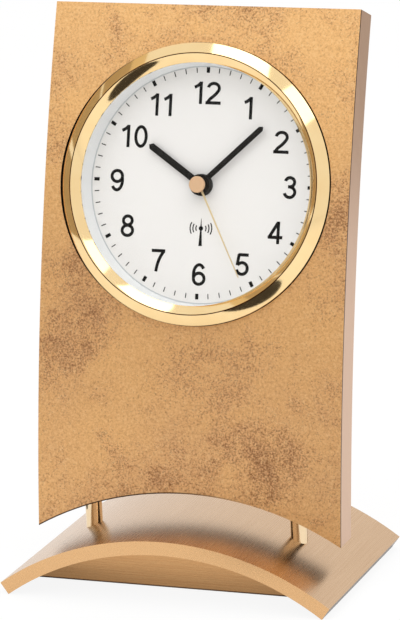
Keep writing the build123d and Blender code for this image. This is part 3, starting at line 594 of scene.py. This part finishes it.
def batterySleeve():
    material, tree, shader, place = startMaterial("printed battery sleeve")
    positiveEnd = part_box("battery")[1].x
    alongX = addNode(tree, "SeparateXYZ", {0: place}).outputs["X"]
    banded = addNode(tree, "Math", {
        0: alongX, 1: positiveEnd - cell["bandLength"] * mm}, operation="GREATER_THAN")
    nub = addNode(tree, "Math", {
        0: alongX, 1: positiveEnd - cell["nubLength"] * mm}, operation="GREATER_THAN")
    sleeve = addNode(tree, "Mix", {
        0: banded.outputs[0], 6: hexColour(cell["dark"]), 7: hexColour(cell["band"])}, data_type="RGBA")
    ended = addNode(tree, "Mix", {
        0: nub.outputs[0], 6: sleeve.outputs[2], 7: hexColour(cell["steel"])}, data_type="RGBA")
    feed(tree, shader, "Base Color", ended.outputs[2])
    metallic = addNode(tree, "Math", {0: banded.outputs[0], 1: nub.outputs[0]}, operation="MAXIMUM")
    feed(tree, shader, "Metallic", metallic.outputs[0])
    sheen = addNode(tree, "TexNoise", {
        "Vector": place, "Scale": perMetre(cell["sheenSize"]), "Detail": 3.0})
    low, high = cell["roughness"]
    roughness = addNode(tree, "MapRange", {"Value": sheen.outputs["Fac"], "To Min": low, "To Max": high})
    feed(tree, shader, "Roughness", roughness.outputs[0])
    return material


paint(batterySleeve(), "battery")
print("finishes on", len(nodes), "pieces")

# Dial print: screen printed ink, flat and matt, as thin closed shapes on the dial, set a little high
ink = {
    "black": {"light": "#1b1a19", "dark": "#141312", "patternSize": 0.3, "roughness": 0.6, "specular": 0.15},
    # grey of the painted shade line round the dial's edge
    "grey": {"light": "#cfd3d5", "dark": "#c5c9cb", "patternSize": 0.3, "roughness": 0.6},
    "film": 0.04,
    "capHeight": 7.9,
    "strokeShare": 0.145,
    "digitWidth": 0.95,
    "digitStep": 0.7,
    "elevenStep": 0.635,
    "numeralRadius": 32.0,
    "numeralCentre": (0.3, 0.45),
    "trackCentre": (0.0, 0.6),
    "trackRadius": 39.95,
    "hourMark": (1.2, 2.0),
    "minuteMark": (0.34, 1.8),
    # the painted shade line where the wall ring meets the dial
    "shadeLineRadius": 41.8,
    "shadeLineWidth": 0.42,
}
# small shifts of single numerals, as the print has them
numeralNudges = {
    1: (-0.5, -0.5), 2: (0.5, -0.3), 3: (0.2, 0.0), 7: (0.5, 0.0), 9: (-0.5, 0.0), 10: (0.6, -0.2),
    11: (-1.1, -0.4), 12: (-0.65, 0.0)}
printInk = mottledFinish("screen printed black ink", ink["black"])


# points along part of an ellipse, angles in degrees from the right, anticlockwise
def bow(centreX, centreY, halfWidth, halfHeight, start, end, steps=28):
    angles = [radians(start + (end - start) * i / steps) for i in range(steps + 1)]
    return [(centreX + halfWidth * cos(angle), centreY + halfHeight * sin(angle)) for angle in angles]


# points along a bend that leaves the first point towards the second and ends at the third
def bend(first, second, third, steps=14):
    points = []
    for i in range(steps + 1):
        done = i / steps
        left = 1 - done
        points.append(tuple(
            left ** 2 * first[k] + 2 * done * left * second[k] + done ** 2 * third[k] for k in (0, 1)))
    return points


# upright sans-serif digits as centre lines, one cap height tall, standing on zero
sixStrokes = [bow(0.01, 0.5, 0.275, 0.4375, 38, 196), bow(0.01, 0.315, 0.265, 0.2475, 0, 360)]
digitStrokes = {
    "0": [bow(0, 0.5, 0.262, 0.4375, 0, 360, 40)],
    "1": [[(0.1, 0), (0.1, 1)], bend((0.1, 0.96), (-0.03, 0.81), (-0.22, 0.745))],
    "2": [bow(0, 0.72, 0.27, 0.2175, 172, -35), bend((0.2212, 0.5953), (0.09, 0.42), (-0.1, 0.29))
          + bend((-0.1, 0.29), (-0.25, 0.18), (-0.3, 0.02)), [(-0.385, 0.0675), (0.37, 0.0675)]],
    "3": [bow(-0.01, 0.735, 0.225, 0.2025, 168, -90), bow(-0.01, 0.2925, 0.255, 0.23, 90, -168),
          [(-0.1, 0.53), (0.0, 0.53)]],
    "4": [[(0.13, 0), (0.13, 1)], [(0.11, 0.955), (-0.325, 0.265)], [(-0.37, 0.2925), (0.35, 0.2925)]],
    "5": [[(-0.2, 0.9325), (0.3, 0.9325)], [(-0.17, 0.96), (-0.25, 0.46)],
          bow(-0.005, 0.325, 0.265, 0.2575, 146, -168)],
    "6": sixStrokes,
    "7": [[(-0.345, 0.9325), (0.335, 0.9325)], bend((0.28, 0.93), (-0.03, 0.55), (-0.09, 0))],
    "8": [bow(0, 0.7375, 0.222, 0.2, 0, 360), bow(0, 0.2925, 0.265, 0.23, 0, 360)],
    "9": [[(-x, 1 - y) for x, y in stroke] for stroke in sixStrokes],
}


# a flat band of even width along points, added as faces
def addBand(mesh, points, width):
    closed = (Vector(points[0]) - Vector(points[-1])).length < 1e-6
    ring = points[:-1] if closed else points
    count = len(ring)
    rows = []
    for i, point in enumerate(ring):
        before = ring[i - 1] if closed or i > 0 else point
        after = ring[(i + 1) % count] if closed or i < count - 1 else point
        heading = (Vector(after) - Vector(before)).normalized()
        aside = Vector((-heading.y, heading.x)) * width / 2
        corners = (Vector(point) + aside, Vector(point) - aside)
        rows.append([mesh.verts.new((*corner, 0.0)) for corner in corners])
    for i in range(count if closed else count - 1):
        (left, right), (nextLeft, nextRight) = rows[i], rows[(i + 1) % count]
        mesh.faces.new((left, right, nextRight, nextLeft))


def addPlate(mesh, points):
    mesh.faces.new([mesh.verts.new((x, y, 0.0)) for x, y in points])


# closes the flat faces into a film of ink and lays it on the dial or on the movement's back
def layPrint(name, mesh, matrix, material):
    bmesh.ops.scale(mesh, vec=(mm, mm, mm), verts=mesh.verts)
    raised = bmesh.ops.extrude_face_region(mesh, geom=mesh.faces[:])
    lifted = [item for item in raised["geom"] if isinstance(item, bmesh.types.BMVert)]
    bmesh.ops.translate(mesh, vec=(0, 0, ink["film"] * mm), verts=lifted)
    bmesh.ops.recalc_face_normals(mesh, faces=mesh.faces[:])
    data = bpy.data.meshes.new(name)
    mesh.to_mesh(data)
    mesh.free()
    data.transform(matrix)
    data.materials.append(material)
    piece = bpy.data.objects.new(name, data)
    scene.collection.objects.link(piece)
    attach(piece, "case")


def clockPoint(minutes, radius, centre):
    angle = radians(6 * minutes)
    return Vector((centre[0] + radius * sin(angle), centre[1] + radius * cos(angle)))


numerals = bmesh.new()
capHeight = ink["capHeight"]
for hour in range(1, 13):
    middle = clockPoint(5 * hour, ink["numeralRadius"], ink["numeralCentre"])
    middle += Vector(numeralNudges.get(hour, (0.0, 0.0)))
    digits = str(hour)
    step = ink["elevenStep"] if hour == 11 else ink["digitStep"]
    for position, digit in enumerate(digits):
        shift = (position - (len(digits) - 1) / 2) * step * capHeight
        for stroke in digitStrokes[digit]:
            points = [
                (middle.x + shift + x * ink["digitWidth"] * capHeight, middle.y + (y - 0.5) * capHeight)
                for x, y in stroke]
            addBand(numerals, points, ink["strokeShare"] * capHeight)
layPrint("dial_numerals", numerals, dialMatrix, printInk)

track = bmesh.new()
for minute in range(60):
    width, length = ink["hourMark"] if minute % 5 == 0 else ink["minuteMark"]
    reaches = (ink["trackRadius"] - length / 2, ink["trackRadius"] + length / 2)
    ends = [tuple(clockPoint(minute, reach, ink["trackCentre"])) for reach in reaches]
    addBand(track, ends, width)
layPrint("dial_minute_track", track, dialMatrix, printInk)

# a fine grey line painted as the shade where the wall ring meets the dial
shadeLine = bmesh.new()
addBand(shadeLine, bow(0, 0, ink["shadeLineRadius"], ink["shadeLineRadius"], 0, 360, 180), ink["shadeLineWidth"])
shadeInk = mottledFinish("grey paint for painted shade", ink["grey"])
layPrint("dial_painted_shade_line", shadeLine, dialMatrix, shadeInk)

# radio sign: a tapered mast with a ball and three waves on each side
mast = {
    "across": 0.25,
    "ballHeight": -15.25,
    "ballRadius": 0.82,
    "tipHeight": -11.7,
    "footHeight": -21.5,
    "tipWidth": 0.1,
    "neckWidth": 0.55,
    "footWidth": 1.3,
    "waveRadii": (1.9, 3.0, 4.05),
    "waveSpread": 30.0,
    "waveWidth": 0.42,
}
sign = bmesh.new()
mastLine, ballHeight, spread = mast["across"], mast["ballHeight"], mast["waveSpread"]
addPlate(sign, bow(mastLine, ballHeight, mast["ballRadius"], mast["ballRadius"], 0, 360, 24)[:-1])
neck = mast["neckWidth"] / 2
for end in ("foot", "tip"):
    endHeight, endHalf = mast[end + "Height"], mast[end + "Width"] / 2
    addPlate(sign, [
        (mastLine - endHalf, endHeight), (mastLine + endHalf, endHeight),
        (mastLine + neck, ballHeight), (mastLine - neck, ballHeight)])
for radius in mast["waveRadii"]:
    for side in (0, 180):
        wave = bow(mastLine, ballHeight, radius, radius, side - spread, side + spread, 12)
        addBand(sign, wave, mast["waveWidth"])
layPrint("dial_radio_sign", sign, dialMatrix, printInk)

# movement's back: pad printed pictograms over the buttons and the cell's poles above its bay, flat
# pale grey on the black
marks = {
    "grey": {"light": "#c4c4c0", "dark": "#b6b6b2", "patternSize": 0.3, "roughness": 0.6},
    "above": 6.2,
    "size": 1.6,
    "stroke": 0.34,
    "handTail": 0.15,
    "arrow": 0.75,
    "poleAcross": 20.0,
    "poleHeight": -8.0,
    "poleSize": 1.4,
    "poleStroke": 0.476,
    # angles in degrees
    "waveSpread": 40.0,
    "turnAngles": (-20.0, 270.0),
    # shares of the size
    "longHand": 0.7,
    "shortHand": 0.55,
    "aerialHeight": 0.4,
    "waves": (0.45, 0.9),
    "turn": 0.85,
}
cover = nodes["movement_cover"].data
coverLevel = min((vertex.co - dialCentre) @ outward for vertex in cover.vertices)
backMatrix = Matrix((-across, upDial, -outward)).transposed().to_4x4()
backMatrix.translation = dialCentre + outward * coverLevel
size, tail, spread = marks["size"], marks["handTail"], marks["waveSpread"]
turn, aerial = size * marks["turn"], size * marks["aerialHeight"]
waves = [
    bow(0, aerial, size * share, size * share, side - spread, side + spread, 10)
    for share in marks["waves"] for side in (0, 180)]
pictograms = {
    "set_button": [
        bow(0, 0, size, size, 0, 360),
        [(0, -tail), (0, size * marks["longHand"])], [(-tail, 0), (size * marks["shortHand"], 0)]],
    "receive_button": [[(0, -size), (0, aerial)], *waves],
    "reset_button": [bow(0, 0, turn, turn, *marks["turnAngles"])],
}
backMarks = bmesh.new()
for button, strokes in pictograms.items():
    low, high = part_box(button)
    middle = (low + high) / 2 - dialCentre
    spot = Vector((-(middle @ across), middle @ upDial)) / mm + Vector((0.0, marks["above"]))
    for stroke in strokes:
        addBand(backMarks, [(spot.x + x, spot.y + y) for x, y in stroke], marks["stroke"])
    if button == "reset_button":
        tip = marks["arrow"]
        head = ((0, -tip), (tip, 0), (0, tip))
        addPlate(backMarks, [(spot.x + x, spot.y - turn + y) for x, y in head])
pole, poleHeight = marks["poleSize"], marks["poleHeight"]
for side in (-1, 1):
    poleLine = -side * marks["poleAcross"]
    level = [(poleLine - pole, poleHeight), (poleLine + pole, poleHeight)]
    addBand(backMarks, level, marks["poleStroke"])
    if side > 0:  # the plus
        upright = [(poleLine, poleHeight - pole), (poleLine, poleHeight + pole)]
        addBand(backMarks, upright, marks["poleStroke"])
padInk = mottledFinish("pad printed grey ink", marks["grey"])
layPrint("movement_marks", backMarks, backMatrix, padInk)
print("dial and movement printed")

# Stage: a pale floor under a white sky, shown nearly white with the clock's soft shadow
stage = {
    "floorLight": "#f5f4f2",
    "floorDark": "#f1f0ee",
    "mottleSize": 60.0,
    "floorMetres": 6.0,
    "floorGlow": 0.9,
    "mirrorGlow": 0.4,
    "sky": "#ffffff",
}


def paleFloor():
    material, tree, shader, place = startMaterial("pale painted floor", Roughness=0.7)
    mottle = addNode(tree, "TexNoise", {
        "Vector": place, "Scale": perMetre(stage["mottleSize"]), "Detail": 2.0})
    dark, light = hexColour(stage["floorDark"]), hexColour(stage["floorLight"])
    colour = addNode(tree, "Mix", {0: mottle.outputs["Fac"], 6: dark, 7: light}, data_type="RGBA")
    feed(tree, shader, "Base Color", colour.outputs[2])
    path = addNode(tree, "LightPath").outputs
    mirrored = addNode(tree, "Math", {
        0: path["Is Glossy Ray"], 1: path["Is Transmission Ray"]}, operation="MAXIMUM")
    mirrorShare = addNode(tree, "Math", {
        0: mirrored.outputs[0], 1: stage["mirrorGlow"]}, operation="MULTIPLY")
    seenShare = addNode(tree, "Math", {
        0: path["Is Camera Ray"], 1: stage["floorGlow"]}, operation="MULTIPLY")
    share = addNode(tree, "Math", {
        0: mirrorShare.outputs[0], 1: seenShare.outputs[0]}, operation="MAXIMUM")
    glow = addNode(tree, "Emission", {"Strength": 1.0})
    mixed = addNode(tree, "MixShader", {0: share.outputs[0], 1: shader.outputs[0], 2: glow.outputs[0]})
    tree.links.new(mixed.outputs[0], tree.nodes["Material Output"].inputs["Surface"])
    return material


half = stage["floorMetres"] / 2
floorCorners = [(-half, -half, 0), (half, -half, 0), (half, half, 0), (-half, half, 0)]
floorMesh = bpy.data.meshes.new("floor")
floorMesh.from_pydata(floorCorners, [], [(0, 1, 2, 3)])
floorMesh.materials.append(paleFloor())
floor = bpy.data.objects.new("floor", floorMesh)
scene.collection.objects.link(floor)

world = bpy.data.worlds.new("white studio")
world.use_nodes = True
scene.world = world
sky = world.node_tree.nodes["Background"]
sky.inputs["Color"].default_value = hexColour(stage["sky"])
sky.inputs["Strength"].default_value = 1.0

# Lamps: a broad square softbox overhead towards the right, and one high in front
lamps = {
    "overhead": {"place": (0.33, -0.1, 1.19), "aim": (0.0, 0.0, 0.14), "size": (1.3, 1.3), "watts": 6.0},
    "front": {"place": (-0.3, -1.2, 1.3), "aim": (0.0, 0.0, 0.12), "size": (1.4, 1.0), "watts": 5.0},
}


def turnTo(thing, place, aim):
    thing.location = place
    heading = Vector(aim) - Vector(place)
    thing.rotation_euler = heading.to_track_quat("-Z", "Y").to_euler()


for name, lamp in lamps.items():
    light = bpy.data.lights.new(name, "AREA")
    light.shape = "RECTANGLE"
    light.size, light.size_y = lamp["size"]
    light.energy = lamp["watts"]
    holder = bpy.data.objects.new(name, light)
    turnTo(holder, lamp["place"], lamp["aim"])
    holder.visible_glossy = False  # mirrors see the cards below instead
    scene.collection.objects.link(holder)

# Cards outside the picture, which only mirrors see, to draw the metal's forms: the lit faces of
# the overhead softbox, a slatted brown wall to the left, a brown one in front and dark patches
cards = {
    "cardSoftboxNear": {
        "place": (-0.01, -0.085, 1.19), "aim": (-0.01, -0.085, 0.0), "size": (0.5, 0.58), "tone": "white"},
    "cardSoftboxFar": {
        "place": (0.74, -0.25, 1.19), "aim": (0.0, 0.0, 0.14), "size": (0.86, 0.44), "tone": "pale"},
    "cardLeftLow": {
        "place": (-0.5, 0.08, 0.107), "aim": (0.0, 0.08, 0.107), "size": (0.5, 0.214), "tone": "brown"},
    "cardLeftMiddle": {
        "place": (-0.5, 0.08, 0.329), "aim": (0.0, 0.08, 0.329), "size": (0.5, 0.182), "tone": "brown"},
    "cardLeftHigh": {
        "place": (-0.5, 0.08, 0.52), "aim": (0.0, 0.08, 0.52), "size": (0.5, 0.175), "tone": "brown"},
    "cardLeftTop": {
        "place": (-0.5, 0.08, 0.664), "aim": (0.0, 0.08, 0.664), "size": (0.5, 0.112), "tone": "tan"},
    "cardFront": {
        "place": (-0.3, -1.2, 0.265), "aim": (0.0, 0.0, 0.265), "size": (2.0, 0.53), "tone": "brown"},
    "cardRight": {
        "place": (0.42, 1.15, 0.002), "aim": (0.42, 1.15, 1.0), "size": (0.6, 1.2), "tone": "black"},
    "cardRightFar": {
        "place": (0.6, 1.75, 0.17), "aim": (0.0, 0.0, 0.17), "size": (0.9, 0.34), "tone": "black"},
    "cardFloor": {
        "place": (0.05, -0.162, 0.002), "aim": (0.05, -0.162, 1.0), "size": (0.142, 0.142),
        "tone": "black", "corners": 40},
}
cloth = {"light": "#ffffff", "dark": "#f4f4f4", "patternSize": 2.0, "roughness": 0.9}
paper = {"patternSize": 5.0, "roughness": 0.8}
cardTones = {
    "white": mottledFinish("lit softbox cloth", cloth),
    "pale": mottledFinish("dimmer softbox cloth", cloth),
    "brown": mottledFinish("brown card", paper | {"light": "#a89679", "dark": "#9c8a6e"}),
    "tan": mottledFinish("tan card", paper | {"light": "#cdbc9c", "dark": "#c3b190"}),
    "black": mottledFinish("black card", paper | {"light": "#2a2623", "dark": "#1f1c1a"}),
}
clothGlow = {"white": 2.0, "pale": 1.6}
for tone, strength in clothGlow.items():
    shader = cardTones[tone].node_tree.nodes["Principled BSDF"]
    shader.inputs["Emission Color"].default_value = hexColour(cloth["light"])
    shader.inputs["Emission Strength"].default_value = strength
for name, card in cards.items():
    halfWidth, halfHeight = (side / 2 for side in card["size"])
    outline = [
        (-halfWidth, -halfHeight), (halfWidth, -halfHeight),
        (halfWidth, halfHeight), (-halfWidth, halfHeight)]
    if "corners" in card:
        outline = bow(0, 0, halfWidth, halfHeight, 0, 360, card["corners"])[:-1]
    data = bpy.data.meshes.new(name)
    data.from_pydata([(x, y, 0) for x, y in outline], [], [range(len(outline))])
    data.materials.append(cardTones[card["tone"]])
    piece = bpy.data.objects.new(name, data)
    turnTo(piece, card["place"], card["aim"])
    piece.visible_camera = False
    piece.visible_diffuse = False
    piece.visible_shadow = False
    piece.visible_transmission = False
    scene.collection.objects.link(piece)

# Camera: fitted to the photograph's edges
view = {
    "azimuth": 20.459,
    "elevation": 14.722,
    "roll": -2.259,
    "aim": (0.0, 7.62, 94.3),
    "distance": 1378.0,
    "focalPixels": 3900.0,
    "imageHeight": 620.0,
    "sensorWidth": 36.0,
    "farMetres": 50.0,
}
azimuth, elevation, roll = (radians(view[angle]) for angle in ("azimuth", "elevation", "roll"))
back = Vector((sin(azimuth) * cos(elevation), -cos(azimuth) * cos(elevation), sin(elevation)))
right = (-back).cross(Vector((0, 0, 1))).normalized()
up = right.cross(-back)
rolledRight = cos(roll) * right + sin(roll) * up
rolledUp = -sin(roll) * right + cos(roll) * up
cameraData = bpy.data.cameras.new("camera")
cameraData.sensor_width = view["sensorWidth"]
cameraData.lens = view["sensorWidth"] * view["focalPixels"] / view["imageHeight"]
cameraData.clip_end = view["farMetres"]
camera = bpy.data.objects.new("camera", cameraData)
cameraMatrix = Matrix((rolledRight, rolledUp, back)).transposed().to_4x4()
cameraMatrix.translation = Vector(view["aim"]) * mm + back * view["distance"] * mm
camera.matrix_world = cameraMatrix
scene.collection.objects.link(camera)
scene.camera = camera
scene.view_settings.view_transform = "Standard"
print("stage, lamps and camera set")
